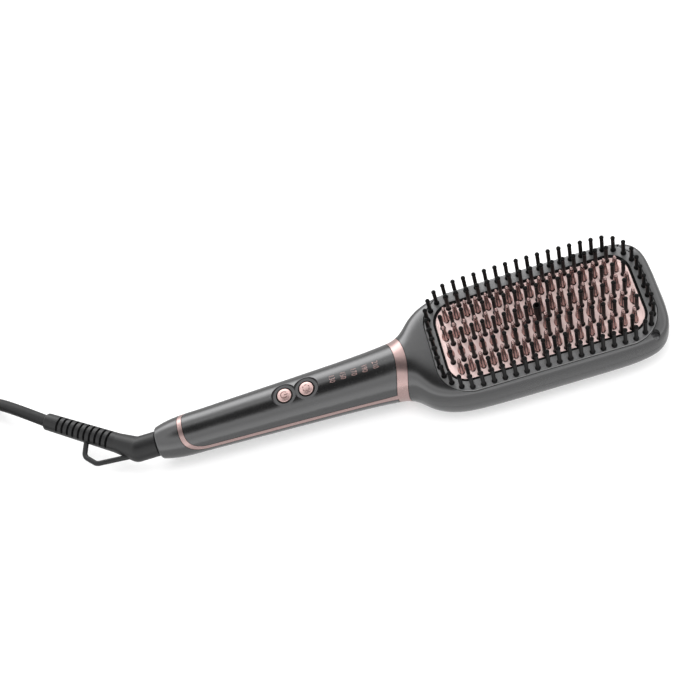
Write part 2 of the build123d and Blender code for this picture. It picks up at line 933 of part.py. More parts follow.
with BuildPart() as heating_plate:
    add(plate_slab(0, plate_bottom, plate_top))
    with BuildSketch(Plane.XY.offset(plate_bottom)):
        with Locations(bristle_spots):
            Circle(shank_radius + pilot_clearance)
        with Locations((plate_x, 0)):
            Circle(nozzle_radius + running_gap)
    extrude(amount=plate_thickness, mode=Mode.SUBTRACT)
    for side in (-1, 1):
        x = plate_x + side * clamp_screw_x
        pilot = post(x, 0, 0, plate_top - plate_skin, small_screw_radius + pilot_clearance)
        add(pilot, mode=Mode.SUBTRACT)
keep(heating_plate, "heating_plate")

# Heater stack under the plate
pad_bottom = plate_bottom - pad_thickness
pad_mid_z = pad_bottom + pad_thickness / 2
clamp_bottom = pad_bottom - clamp_thickness
mat_bottom = clamp_bottom - mat_thickness
with BuildPart() as heater_pads:
    with Locations([(plate_x, side * pad_offset_y, pad_mid_z) for side in (-1, 1)]):
        Box(pad_length, pad_width, pad_thickness)
keep(heater_pads, "heater_pads")


def centred_sheet(size, bottom, nozzle_hole, screw_hole):
    half_length, half_width, thickness = size
    with BuildPart() as sheet:
        low = (plate_x - half_length, -half_width, bottom)
        add(block(low, (plate_x + half_length, half_width, bottom + thickness)))
        add(post(plate_x, 0, 0, face_z, nozzle_hole), mode=Mode.SUBTRACT)
        for side in (-1, 1):
            add(post(plate_x + side * clamp_screw_x, 0, 0, face_z, screw_hole), mode=Mode.SUBTRACT)
    return sheet


clamp_size = (pad_length / 2 + clamp_overhang, clamp_width / 2, clamp_thickness)
mat_size = (pad_length / 2 + mat_overhang, mat_width / 2, mat_thickness)
post_hole = nozzle_radius + free_gap
clamp_hole = small_screw_radius + free_gap / 2
mat_hole = small_screw_head_radius + free_gap
keep(centred_sheet(clamp_size, clamp_bottom, post_hole, clamp_hole), "heater_clamp")
keep(centred_sheet(mat_size, mat_bottom, post_hole, mat_hole), "insulation_mat")
clamp_shank = plate_top - plate_skin - pilot_clearance - clamp_bottom
screw_group(
    "clamp_screws",
    [
        screw(
            plate_x + side * clamp_screw_x,
            0,
            clamp_bottom,
            clamp_shank,
            small_screw_head_radius,
            small_screw_radius,
            1,
        )
        for side in (-1, 1)
    ],
)

with BuildPart() as thermal_fuse:
    fuse_x = plate_x - fuse_offset
    add(
        rod_along_x(
            fuse_x, fuse_x + fuse_length, fuse_radius, side_band_y, plate_bottom - fuse_radius - seat_gap
        )
    )
keep(thermal_fuse, "thermal_fuse")
with BuildPart() as temperature_sensor:
    sensor_z = plate_bottom - sensor_radius - seat_gap
    add(rod_along_x(fuse_x, fuse_x + sensor_length, sensor_radius, -side_band_y, sensor_z))
keep(temperature_sensor, "temperature_sensor")

# Ion outlet in the middle of the plate
with BuildPart() as ion_nozzle:
    flange_top = mat_bottom
    nozzle_top = face_z + nozzle_height
    add(post(plate_x, 0, flange_top - nozzle_flange_thickness, nozzle_top, nozzle_radius))
    fillet(ion_nozzle.edges().group_by(Axis.Z)[-1], nozzle_edge)
    add(post(plate_x, 0, flange_top - nozzle_flange_thickness, flange_top, nozzle_flange_radius))
    add(post(plate_x, 0, 0, 2 * face_z, nozzle_bore), mode=Mode.SUBTRACT)
keep(ion_nozzle, "ion_nozzle")
with BuildPart() as ion_needle:
    needle_low = mat_bottom - nozzle_flange_thickness
    add(post(plate_x, 0, needle_low, needle_low + needle_base, nozzle_bore - running_gap))
    add(post(plate_x, 0, needle_low, nozzle_top - needle_depth, needle_radius))
keep(ion_needle, "ion_needle")

# Leads inside the neck and head
lead_z = board_top + lead_radius + seat_gap
pad_end_x = plate_x - pad_length / 2
lip_x = plate_x - plate_half_length
under_lip_z = lip_top - frame_lip_thickness - lead_radius - free_gap
with BuildPart() as heater_leads:
    add(
        [
            wire_between(
                (
                    (board_end_x - lead_overlap, side * heater_lead_y, lead_z),
                    (ring_front_x + 3.0, side * heater_lead_y, lead_z),
                    (lip_x - 3.0, side * pad_offset_y, under_lip_z - 1.5),
                    (pad_end_x - lead_end_run, side * pad_offset_y, pad_mid_z),
                    (pad_end_x, side * pad_offset_y, pad_mid_z),
                ),
                lead_radius,
            )
            for side in (-1, 1)
        ]
    )
keep(heater_leads, "heater_leads")
with BuildPart() as sensor_lead:
    add(
        wire_between(
            (
                (board_end_x - lead_overlap, -sensor_lead_y, lead_z),
                (ring_front_x + 1.0, -sensor_lead_y, lead_z),
                (lip_x - 3.4, -side_band_y, under_lip_z - 3.0),
                ((lip_x + fuse_x) / 2, -side_band_y, under_lip_z - 1.0),
                (fuse_x - lead_end_run, -side_band_y, sensor_z),
                (fuse_x, -side_band_y, sensor_z),
            ),
            lead_radius,
        )
    )
keep(sensor_lead, "sensor_lead")
with BuildPart() as ion_lead:
    ion_z = axis_z + ion_box_top - ion_box[2] / 2
    ion_end_x = ion_box_x + ion_box[0] / 2
    add(
        wire_between(
            (
                (ion_end_x, 0, ion_z),
                (ring_front_x + 9.5, 0, ion_z),
                ((lip_x + plate_x) / 2, 0, ion_z - 2.0),
                (plate_x, 0, ion_z - 1.0),
                (plate_x, 0, needle_low),
            ),
            lead_radius,
        )
    )
keep(ion_lead, "ion_lead")

# Cord swivel: the strain relief turns in the handle's rear wall
spindle_x = tail_x + wall + free_gap
flange_end_x = spindle_x + spindle_flange_thickness
retainer_x = flange_end_x + free_gap
hub_end_x = flange_end_x + hub_length
contact_x = hub_end_x - contact_spacing - contact_width
with BuildPart() as swivel_spindle:
    add(rod_along_x(tail_x - elbow_gap, flange_end_x, bore_radius - running_gap))
    add(rod_along_x(spindle_x, flange_end_x, spindle_flange_radius))
    add(rod_along_x(flange_end_x, hub_end_x, hub_radius))
keep(swivel_spindle, "swivel_spindle")
with BuildPart() as contact_rings:
    for step, radius in enumerate(contact_radii):
        start = contact_x + step * contact_spacing
        add(rod_along_x(start, start + contact_width, radius))
    add(rod_along_x(contact_x - 1, hub_end_x + 1, hub_radius), mode=Mode.SUBTRACT)
keep(contact_rings, "contact_rings")
with BuildPart() as swivel_retainer:
    retainer_radius = handle_radius(retainer_x) - wall - free_gap
    retainer_end_x = retainer_x + retainer_thickness
    add(rod_along_x(retainer_x, retainer_end_x, retainer_radius))
    add(rod_along_x(retainer_x, retainer_end_x, hub_radius + free_gap), mode=Mode.SUBTRACT)
keep(swivel_retainer, "swivel_retainer")
with BuildPart() as contact_springs:
    for step, (radius, side) in enumerate(zip(contact_radii, (1, -1))):
        start = contact_x + step * contact_spacing
        end = board_start_x + contact_foot
        near = radius + free_gap
        far = near + contact_strip
        board_face = 0 if side > 0 else board_thickness
        low, high = sorted((axis_z + side * near, axis_z + side * far))
        leg_low, leg_high = sorted((axis_z + side * board_face, axis_z + side * far))
        add(block((start, -contact_half_width, low), (end, contact_half_width, high)))
        foot_low = (end - contact_strip, -contact_half_width, leg_low)
        add(block(foot_low, (end, contact_half_width, leg_high)))
keep(contact_springs, "contact_springs")

sleeve_direction = Vector(-cos(radians(sleeve_angle)), sin(radians(sleeve_angle)), 0)
elbow_x = tail_x - elbow_length
elbow_point = Vector(elbow_x, 0, axis_z)


def sleeve_plane(distance):
    return Plane(origin=elbow_point + sleeve_direction * distance, x_dir=(0, 0, 1), z_dir=sleeve_direction)


sleeve_tip = elbow_point + sleeve_direction * sleeve_length
with BuildPart() as hanging_loop:
    with BuildLine() as loop_route:
        FilletPolyline(*[(elbow_x + x, y, axis_z) for x, y in loop_points], radius=loop_bend)
    with BuildSketch(Plane(origin=loop_route.line @ 0, z_dir=loop_route.line % 0)):
        Circle(loop_radius)
    sweep(path=loop_route.line)
with BuildPart() as cord_strain_relief:
    add(rod_along_x(elbow_x, tail_x - elbow_gap, elbow_radius))
    fillet(cord_strain_relief.edges().group_by(Axis.X)[-1], elbow_edge)
    with Locations(elbow_point):
        Sphere(elbow_radius)
    with BuildSketch(sleeve_plane(0)):
        Circle(elbow_radius)
    with BuildSketch(sleeve_plane(sleeve_start)):
        Circle(sleeve_start_radius)
    loft()
    with BuildSketch(sleeve_plane(sleeve_start)):
        Circle(sleeve_start_radius)
    with BuildSketch(sleeve_plane(sleeve_length)):
        Circle(sleeve_end_radius)
    loft()
    fillet(cord_strain_relief.edges().group_by(Axis.X)[0], elbow_edge)
    for i in range(slot_count):
        for side in (-1, 1):
            place = sleeve_start + slot_margin + (i + (1 + side) / 4) * slot_pitch
            slot_plane = sleeve_plane(place + slot_width / 2)
            with BuildSketch(slot_plane):
                Circle(elbow_radius)
                Circle(sleeve_end_radius - slot_depth, mode=Mode.SUBTRACT)
                with Locations((-side * elbow_radius, 0)):
                    Rectangle(2 * elbow_radius + slot_spine, 2 * elbow_radius, mode=Mode.SUBTRACT)
            extrude(amount=slot_width / 2, both=True, mode=Mode.SUBTRACT)
    add(hanging_loop.part)
keep(cord_strain_relief, "cord_strain_relief")

# Cord: a tube from the strain relief to the coil, which lies on the table
coil_low = floor_gap + tie_thickness
cord_low = coil_low + cord_radius
tube_start = sleeve_tip + sleeve_direction * free_gap
coil_x = tail_x - coil_reach
entry_x = coil_x + stub_length
entry_y = coil_y + coil_outer_column
cord_points = [
    tuple(tube_start),
    *[(sleeve_tip.X + x, y, z) for x, y, z in cord_way],
    (entry_x + free_gap, entry_y, cord_low),
]


def bend_radii(points):
    radii = []
    for a, b, c in zip(points, points[1:], points[2:]):
        first, second = Vector(b) - Vector(a), Vector(c) - Vector(b)
        turn = first.get_angle(second)
        radii.append(0.45 * min(first.length, second.length) / tan(radians(turn) / 2))
    return radii


cord_radii = bend_radii(cord_points)
with BuildPart() as cord_tube:
    with BuildLine() as cord_route:
        FilletPolyline(*cord_points, radius=cord_radii)
    with BuildSketch(Plane(origin=cord_route.line @ 0, z_dir=cord_route.line % 0)):
        Circle(cord_radius)
    sweep(path=cord_route.line)
keep(cord_tube, "cord_tube")

coil_out = coil_outer_column + cord_radius
coil_in = coil_out - 2 * cord_radius * coil_columns
coil_high = coil_low + 2 * cord_radius * coil_layers
plug_axis_z = plug_half_height + floor_gap
with BuildPart() as cord_coil:
    with BuildSketch(Plane((coil_x, coil_y, coil_low))):
        Circle(coil_out)
        Circle(coil_in, mode=Mode.SUBTRACT)
    extrude(amount=coil_high - coil_low)
    fillet(cord_coil.edges().group_by(Axis.Z)[-1], coil_edge)
    fillet(cord_coil.edges().group_by(Axis.Z)[0], coil_edge)
    add(rod_along_x(coil_x, entry_x, cord_radius, entry_y, cord_low))
    exit_plane = Plane(
        origin=(coil_x - coil_outer_column, coil_y, plug_axis_z), x_dir=(1, 0, 0), z_dir=(0, -1, 0)
    )
    with BuildSketch(exit_plane):
        Circle(cord_radius)
    extrude(amount=coil_y - plug_neck_y)
keep(cord_coil, "cord_coil")

tie_x = coil_x + (coil_in + coil_out) / 2 * cos(radians(tie_angle))
tie_y = coil_y + (coil_in + coil_out) / 2 * sin(radians(tie_angle))
with BuildPart() as cord_tie:
    tie_plane = Plane(
        origin=(tie_x, tie_y, (coil_low + coil_high) / 2),
        x_dir=(cos(radians(tie_angle)), sin(radians(tie_angle)), 0),
        z_dir=(-sin(radians(tie_angle)), cos(radians(tie_angle)), 0),
    )
    with BuildSketch(tie_plane):
        tie_inner = (coil_out - coil_in + 2 * tie_slack, coil_high - coil_low)
        tie_outer = (tie_inner[0] + 2 * tie_thickness, tie_inner[1] + 2 * tie_thickness)
        RectangleRounded(*tie_outer, tie_corner + tie_thickness)
        RectangleRounded(*tie_inner, tie_corner, mode=Mode.SUBTRACT)
    extrude(amount=tie_width / 2, both=True)
keep(cord_tie, "cord_tie")

plug_x = coil_x - coil_outer_column
plug_face_y = plug_neck_y - plug_length


def plug_plane(y):
    return Plane(origin=(plug_x, y, plug_axis_z), x_dir=(1, 0, 0), z_dir=(0, -1, 0))


with BuildPart() as plug_body:
    with BuildSketch(plug_plane(plug_neck_y)):
        RectangleRounded(*plug_neck)
    with BuildSketch(plug_plane(plug_neck_y - plug_shoulder)):
        RectangleRounded(plug_shoulder_width, 2 * plug_half_height, plug_corner)
    with BuildSketch(plug_plane(plug_face_y)):
        RectangleRounded(2 * plug_half_width, 2 * plug_half_height, plug_corner)
    loft(ruled=True)
keep(plug_body, "plug_body")
with BuildPart() as plug_pins:
    with BuildSketch(plug_plane(plug_face_y)):
        with Locations((-pin_spacing / 2, 0), (pin_spacing / 2, 0)):
            Circle(pin_radius)
    extrude(amount=pin_length)
keep(plug_pins, "plug_pins")
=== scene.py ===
import math
import bmesh
import bpy
from mathutils import Matrix, Vector
from mathutils.bvhtree import BVHTree


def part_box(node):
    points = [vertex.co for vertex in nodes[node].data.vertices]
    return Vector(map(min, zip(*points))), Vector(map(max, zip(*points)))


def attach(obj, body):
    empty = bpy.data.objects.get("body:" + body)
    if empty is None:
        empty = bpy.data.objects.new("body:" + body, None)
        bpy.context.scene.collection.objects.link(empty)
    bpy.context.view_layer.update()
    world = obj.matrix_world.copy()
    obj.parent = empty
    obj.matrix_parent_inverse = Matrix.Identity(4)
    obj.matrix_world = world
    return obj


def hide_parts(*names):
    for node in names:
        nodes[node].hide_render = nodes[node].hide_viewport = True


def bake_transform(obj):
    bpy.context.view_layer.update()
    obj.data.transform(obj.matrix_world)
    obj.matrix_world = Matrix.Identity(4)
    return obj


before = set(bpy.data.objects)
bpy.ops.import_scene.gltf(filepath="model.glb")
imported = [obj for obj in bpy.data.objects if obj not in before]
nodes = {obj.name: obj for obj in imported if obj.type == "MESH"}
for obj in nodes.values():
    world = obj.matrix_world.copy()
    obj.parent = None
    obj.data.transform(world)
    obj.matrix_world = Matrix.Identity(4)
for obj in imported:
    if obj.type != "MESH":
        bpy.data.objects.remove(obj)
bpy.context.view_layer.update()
mm = 0.001
weld = 1e-6  # points closer than this are one
print("frame loaded:", len(nodes), "nodes")

# camera
camera = {
    "place": (0.0272, -0.3329, 0.6565),
    "right": (0.95503, -0.21693, -0.20214),
    "up": (0.28703, 0.84738, 0.44671),
    "back": (0.07439, -0.48464, 0.87154),
    "sensor": 36.0,
    "focalPixels": 1275.65,
    "framePixels": 700,
    "clipStart": 0.01,
}
cameraData = bpy.data.cameras.new("camera")
cameraData.sensor_width = camera["sensor"]
cameraData.lens = camera["focalPixels"] * camera["sensor"] / camera["framePixels"]
cameraData.clip_start = camera["clipStart"]
cameraObject = bpy.data.objects.new("camera", cameraData)
bpy.context.scene.collection.objects.link(cameraObject)
turn = Matrix((camera["right"], camera["up"], camera["back"])).transposed().to_4x4()
cameraObject.matrix_world = Matrix.Translation(camera["place"]) @ turn
bpy.context.scene.camera = cameraObject
bpy.context.scene.view_settings.view_transform = "Standard"


# material helpers
def newMaterial(name):
    material = bpy.data.materials.new(name)
    material.use_nodes = True
    tree = material.node_tree
    return material, tree, tree.nodes["Principled BSDF"]


def addNode(tree, kind, **values):
    node = tree.nodes.new(kind)
    for key, value in values.items():
        if key in node.inputs:
            node.inputs[key].default_value = value
        else:
            setattr(node, key, value)
    return node


def objectNoise(tree, scale, detail=4.0, rough=0.55):
    coords = addNode(tree, "ShaderNodeTexCoord")
    noise = addNode(tree, "ShaderNodeTexNoise", Scale=scale, Detail=detail, Roughness=rough)
    tree.links.new(coords.outputs["Object"], noise.inputs["Vector"])
    return noise


def setRange(node, *values):
    for key, value in zip(("From Min", "From Max", "To Min", "To Max"), values):
        node.inputs[key].default_value = value


def remap(tree, source, low, high, toLow, toHigh):
    span = addNode(tree, "ShaderNodeMapRange")
    setRange(span, low, high, toLow, toHigh)
    tree.links.new(source, span.inputs["Value"])
    return span.outputs["Result"]


def addBump(tree, shader, height, strength, distance):
    bump = addNode(tree, "ShaderNodeBump", Strength=strength, Distance=distance)
    tree.links.new(height, bump.inputs["Height"])
    tree.links.new(bump.outputs["Normal"], shader.inputs["Normal"])


def mixedColour(tree, factor, first, second):
    mix = addNode(tree, "ShaderNodeMix", data_type="RGBA")
    tree.links.new(factor, mix.inputs["Factor"])
    mix.inputs["A"].default_value = (*first, 1)
    mix.inputs["B"].default_value = (*second, 1)
    return mix.outputs["Result"]


# what all finishes share: the spread of the two tones and of the wear, and the bump's depth
grain = {
    "toneSpan": (0.35, 0.65),
    "wearSpan": (0.3, 0.7),
    "wearCoarser": 14,
    "wearDetail": 6.0,
    "bumpDepth": 0.0001,
}


# A moulded or coated finish: two close tones, a grain in the roughness and a fine bump.
def finish(name, dark, light, metal, rough, scale, bump, specular=0.5):
    material, tree, shader = newMaterial(name)
    noise = objectNoise(tree, scale)
    tone = remap(tree, noise.outputs["Fac"], *grain["toneSpan"], 0, 1)
    tree.links.new(mixedColour(tree, tone, dark, light), shader.inputs["Base Color"])
    worn = objectNoise(tree, scale / grain["wearCoarser"], grain["wearDetail"])
    roughness = remap(tree, worn.outputs["Fac"], *grain["wearSpan"], *rough)
    tree.links.new(roughness, shader.inputs["Roughness"])
    shader.inputs["Metallic"].default_value = metal
    shader.inputs["Specular IOR Level"].default_value = specular
    addBump(tree, shader, noise.outputs["Fac"], bump, grain["bumpDepth"])
    return material


tones = {
    "gunmetal": ((0.160, 0.160, 0.162), (0.168, 0.168, 0.170)),
    "frameGrey": ((0.270, 0.270, 0.272), (0.370, 0.370, 0.372)),
    "roseGold": ((0.60, 0.43, 0.41), (0.64, 0.46, 0.44)),
    "buttonRose": ((0.80, 0.56, 0.53), (0.83, 0.59, 0.56)),
    "plateRose": ((0.88, 0.67, 0.64), (0.90, 0.69, 0.66)),
    "toothRose": ((0.46, 0.31, 0.29), (0.58, 0.40, 0.38)),
    "printRose": ((0.62, 0.38, 0.35), (0.66, 0.42, 0.39)),
    "iconRose": ((0.10, 0.05, 0.045), (0.12, 0.06, 0.055)),
    # painted shade: near-black brown for the strips down the tooth flutes
    "paintedGrooveShade": ((0.008, 0.004, 0.004), (0.014, 0.008, 0.007)),
    "black": ((0.003, 0.003, 0.003), (0.005, 0.005, 0.005)),
    "cordBlack": ((0.012, 0.012, 0.0125), (0.018, 0.018, 0.0185)),
    "reliefBlack": ((0.007, 0.007, 0.0075), (0.010, 0.010, 0.0105)),
    "steel": ((0.30, 0.30, 0.31), (0.40, 0.40, 0.41)),
    "brass": ((0.62, 0.60, 0.55), (0.70, 0.68, 0.62)),
    "boardGreen": ((0.01, 0.06, 0.02), (0.02, 0.09, 0.03)),
    "partBlack": ((0.01, 0.01, 0.01), (0.02, 0.02, 0.02)),
    "clearLens": ((0.70, 0.68, 0.62), (0.80, 0.78, 0.72)),
    "ceramic": ((0.60, 0.58, 0.54), (0.70, 0.68, 0.64)),
    "leadRed": ((0.20, 0.02, 0.02), (0.28, 0.03, 0.03)),
}
gunmetal = finish("gunmetalShell", *tones["gunmetal"], 0.97, (0.18, 0.21), 2600, 0.003)
frameGrey = finish("frameGrey", *tones["frameGrey"], 0.85, (0.30, 0.38), 2200, 0.12)
roseTrim = finish("roseTrim", *tones["roseGold"], 0.95, (0.26, 0.30), 1400, 0.003)
roseButton = finish("roseButton", *tones["buttonRose"], 0.85, (0.24, 0.30), 2200, 0.02)
platePink = finish("platePink", *tones["plateRose"], 0.15, (0.28, 0.36), 1800, 0.02)
toothPink = finish("toothPink", *tones["toothRose"], 0.92, (0.14, 0.20), 1800, 0.01)
# painted shade for the strips down the tooth flutes
paintedGrooveShade = finish("paintedGrooveShade", *tones["paintedGrooveShade"], 0.2, (0.30, 0.40), 1800, 0.02)
printPink = finish("printPink", *tones["printRose"], 0.3, (0.40, 0.50), 2600, 0.02)
iconBrown = finish("iconBrown", *tones["iconRose"], 0.2, (0.45, 0.55), 2600, 0.02)
bristleBlack = finish("bristleBlack", *tones["black"], 0.0, (0.28, 0.34), 1500, 0.02, specular=0.13)
sealBlack = finish("sealBlack", *tones["black"], 0.0, (0.55, 0.65), 1500, 0.05, specular=0.1)
cordBlack = finish("cordBlack", *tones["cordBlack"], 0.0, (0.42, 0.54), 2000, 0.08, specular=0.35)
reliefBlack = finish(
    "reliefBlack", *tones["reliefBlack"], 0.0, (0.34, 0.40), 2000, 0.02, specular=0.6
)
plugBlack = finish("plugBlack", *tones["cordBlack"], 0.0, (0.42, 0.52), 2400, 0.12, specular=0.35)
steel = finish("screwSteel", *tones["steel"], 1.0, (0.25, 0.35), 3000, 0.05)
pinBrass = finish("pinBrass", *tones["brass"], 1.0, (0.2, 0.3), 3000, 0.05)
boardGreen = finish("boardGreen", *tones["boardGreen"], 0.0, (0.3, 0.4), 900, 0.1)
partBlack = finish("partBlack", *tones["partBlack"], 0.0, (0.4, 0.5), 1500, 0.1)
clearLens = finish("clearLens", *tones["clearLens"], 0.0, (0.2, 0.3), 1500, 0.02)
ceramic = finish("ceramic", *tones["ceramic"], 0.0, (0.5, 0.6), 1500, 0.1)
leadRed = finish("leadRed", *tones["leadRed"], 0.0, (0.4, 0.5), 1500, 0.1)
print("materials made")

nodeFinish = {
    "accent_trim": roseTrim,
    "handle_top_cover": gunmetal,
    "handle_lower_shell": gunmetal,
    "head_front_shell": gunmetal,
    "head_back_shell": gunmetal,
    "bristle_frame": frameGrey,
    "plate_seal": sealBlack,
    "edge_bristles": bristleBlack,
    "plate_bristles": bristleBlack,
    "heating_teeth": toothPink,
    "heating_plate": platePink,
    "ion_nozzle": bristleBlack,
    "power_button": roseButton,
    "mode_button": roseButton,
    "head_screws": steel,
    "handle_screws": steel,
    "board_screws": steel,
    "frame_screws": steel,
    "clamp_screws": steel,
    "ion_needle": steel,
    "control_board": boardGreen,
    "board_components": partBlack,
    "switch_bodies": partBlack,
    "ion_generator": partBlack,
    "neck_sleeve": partBlack,
    "swivel_spindle": partBlack,
    "swivel_retainer": partBlack,
    "indicator_leds": clearLens,
    "light_guide": clearLens,
    "temperature_sensor": clearLens,
    "power_switch_plunger": ceramic,
    "mode_switch_plunger": ceramic,
    "heater_pads": ceramic,
    "insulation_mat": ceramic,
    "heater_clamp": steel,
    "thermal_fuse": pinBrass,
    "contact_rings": pinBrass,
    "contact_springs": pinBrass,
    "plug_pins": pinBrass,
    "heater_leads": leadRed,
    "sensor_lead": leadRed,
    "ion_lead": leadRed,
    "cord_strain_relief": reliefBlack,
    "cord_tube": cordBlack,
    "cord_coil": cordBlack,
    "cord_tie": cordBlack,
    "plug_body": plugBlack,
}
for name, node in nodes.items():
    node.data.materials.clear()
    node.data.materials.append(nodeFinish[name])


# piece helpers
def linkPiece(name, mesh, material, body, standsFor=()):
    mesh.materials.clear()
    mesh.materials.append(material)
    piece = bpy.data.objects.new(name, mesh)
    bpy.context.scene.collection.objects.link(piece)
    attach(piece, body)
    if standsFor:
        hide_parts(*standsFor)
    return piece


def finishShape(name, shape, smoothAngle=35.0):
    bmesh.ops.remove_doubles(shape, verts=shape.verts, dist=weld)
    bmesh.ops.recalc_face_normals(shape, faces=shape.faces)
    for face in shape.faces:
        face.smooth = True
    mesh = bpy.data.meshes.new(name)
    shape.to_mesh(mesh)
    shape.free()
    mesh.set_sharp_from_angle(angle=math.radians(smoothAngle))
    return mesh


def surfaceUnder(*names):
    trees = []
    for name in names:
        mesh = nodes[name].data
        corners = [v.co.copy() for v in mesh.vertices]
        trees.append(BVHTree.FromPolygons(corners, [tuple(p.vertices) for p in mesh.polygons]))

    def heightAt(x, y):
        hits = [tree.ray_cast(Vector((x, y, 1)), Vector((0, 0, -1)))[0] for tree in trees]
        return max(hit.z for hit in hits if hit)

    return heightAt


# cord: from the sleeve's tip to a neat coil beside the handle, and on to the plug
cord = {
    "radius": 3.6,
    "way": (
        (-211.83, 35.23, 17.5),
        (-226.48, 46.8, 16.6),
        (-240.98, 58.5, 12.2),
        (-254.18, 67.5, 7.4),
        (-266.28, 71.4, 5.0),
        (-297.1, 72.0, 4.6),
    ),
    "leave": (
        (-348.0, 21.65, 11.8),
        (-348.0, 10.0, 11.3),
        (-348.0, -1.0, 6.95),
        (-348.0, -12.0, 6.95),
    ),
    "coilCentre": (-306.0, 30.0),
    "columns": {"outer": 42.0, "inner": 34.7},
    "low": 4.6,
    "layer": 7.2,
    "pointsATurn": 16,
    "turns": 7.25,
    "startAngle": 90.0,
    "seats": (
        ("outer", 0),
        ("inner", 0),
        ("inner", 1),
        ("inner", 2),
        ("inner", 3),
        ("outer", 3),
        ("outer", 2),
        ("outer", 1),
    ),
    # the angles between which each turn moves over to the next seat
    "changes": (
        (305.9, 442.4),
        (254.7, 364.4),
        (254.7, 364.4),
        (254.7, 364.4),
        (228.8, 278.9),
        (192.2, 268.7),
        (192.2, 268.7),
    ),
    "blendEnd": (-260.0, 35.23, 17.5),
    "pointsASpan": 6,
    "bevelSteps": 5,
    "smoothAngle": 60,
}


def eased(share):
    share = min(1, max(0, share))
    return share * share * (3 - 2 * share)


# Each turn stays in its seat of the winding, then moves over to the next one on its way round.
def coilPoints():
    step = 360 / cord["pointsATurn"]
    spread = math.cos(math.radians(step / 2))
    points = []
    for i in range(int(cord["turns"] * cord["pointsATurn"])):
        swept = step / 2 + i * step
        angle = cord["startAngle"] + swept
        turnIndex = int(swept // 360)
        column, layer = cord["seats"][turnIndex]
        radius, height = cord["columns"][column], layer * cord["layer"]
        if turnIndex < len(cord["changes"]):
            start, end = cord["changes"][turnIndex]
            share = eased((angle - 360 * turnIndex - start) / (end - start))
            column, layer = cord["seats"][turnIndex + 1]
            radius += (cord["columns"][column] - radius) * share
            height += (layer * cord["layer"] - height) * share
        points.append(
            (
                cord["coilCentre"][0] + radius / spread * math.cos(math.radians(angle)),
                cord["coilCentre"][1] + radius / spread * math.sin(math.radians(angle)),
                cord["low"] + height,
            )
        )
    return points


def routeCurve(name, points, bevel):
    curve = bpy.data.curves.new(name, "CURVE")
    curve.dimensions = "3D"
    curve.resolution_u = cord["pointsASpan"]
    curve.bevel_depth = bevel
    curve.bevel_resolution = cord["bevelSteps"]
    curve.use_fill_caps = True
    spline = curve.splines.new("NURBS")
    spline.points.add(len(points) - 1)
    for point, place in zip(spline.points, points):
        point.co = (*[value * mm for value in place], 1)
    spline.order_u = 3
    spline.use_endpoint_u = True
    return bpy.data.objects.new(name, curve)


def makeCord():
    points = [*cord["way"], *coilPoints(), *cord["leave"]]
    bare = routeCurve("cordLine", points, 0.0)
    line = [tuple(v.co) for v in bpy.data.meshes.new_from_object(bare).vertices]
    roundLine = routeCurve("cordRound", points, cord["radius"] * mm)
    shape = bmesh.new()
    shape.from_mesh(bpy.data.meshes.new_from_object(roundLine))
    mesh = finishShape("powerCord", shape, cord["smoothAngle"])
    mesh.materials.append(cordBlack)
    lead = bpy.data.objects.new("powerCord", mesh)
    bpy.context.scene.collection.objects.link(lead)
    # near half a turn of the sleeve the two places cancel, and the cord pinches between them
    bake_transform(lead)
    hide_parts("cord_tube", "cord_coil")


makeCord()

# buttons: domed caps with their marks
button = {
    "radius": 4.1,
    "flangeRadius": 4.9,
    "flangeThickness": 1.2,
    "stemRadius": 1.5,
    "capHeight": 3.4,
    "dome": 0.55,
    "rimDrop": 0.95,
    "shoulder": 3.55,
    "steps": 48,
    "rings": 7,
    "markRadius": 1.9,
    "markWidth": 0.46,
    "markThickness": 0.10,
    "edgeAngles": (25, 50, 75, 90),
    "edgeDrop": 1.5,
    # marks: from angle, to angle and steps of each arc, and the bar's two ends
    "powerArc": (42, 318, 28),
    "powerBar": ((0.1, 0), (2.15, 0)),
    "modeArc": (12, 48, 6),
    "modeArcs": 6,
}


def buttonPlace(kind):
    low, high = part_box(f"{kind}_button")
    return low[2], high[2], ((low[0] + high[0]) / 2, (low[1] + high[1]) / 2)


def capProfile(low, high):
    flangeTop = high - button["capHeight"]
    crest = []
    for i in range(button["rings"] + 1):
        out = button["shoulder"] * i / button["rings"]
        crest.append((out, high - button["dome"] * (out / button["radius"]) ** 2))
    edge = button["radius"] - button["shoulder"]
    drop = (button["rimDrop"] - button["dome"]) * button["edgeDrop"]
    bend = []
    for angle in button["edgeAngles"]:
        turned = math.radians(angle)
        out = button["shoulder"] + edge * math.sin(turned)
        bend.append((out, crest[-1][1] - drop * (1 - math.cos(turned))))
    return [
        *crest,
        *bend,
        (button["radius"], flangeTop),
        (button["flangeRadius"], flangeTop),
        (button["flangeRadius"], flangeTop - button["flangeThickness"]),
        (button["stemRadius"], flangeTop - button["flangeThickness"]),
        (button["stemRadius"], low),
        (0, low),
    ]


def spunShape(profile, centre, steps):
    shape = bmesh.new()
    points = [shape.verts.new((centre[0] + r * mm, centre[1], z * mm)) for r, z in profile]
    edges = [shape.edges.new(pair) for pair in zip(points, points[1:])]
    bmesh.ops.spin(
        shape,
        geom=points + edges,
        cent=(centre[0], centre[1], 0),
        axis=(0, 0, 1),
        angle=2 * math.pi,
        steps=steps,
        use_merge=True,
    )
    return shape


# A flat band of an arc, closed all round, lying on z = 0.
def arcBand(shape, radius, width, start, end, thickness, steps):
    corners = [
        shape.verts.new(((radius + side * width / 2) * mm, 0, up * thickness / 2 * mm))
        for side, up in ((-1, -1), (1, -1), (1, 1), (-1, 1))
    ]
    face = shape.faces.new(corners)
    bmesh.ops.rotate(
        shape, verts=corners, cent=(0, 0, 0), matrix=Matrix.Rotation(math.radians(start), 3, "Z")
    )
    bmesh.ops.spin(
        shape,
        geom=[face, *face.edges, *corners],
        cent=(0, 0, 0),
        axis=(0, 0, 1),
        angle=math.radians(end - start),
        steps=steps,
        use_duplicate=False,
    )


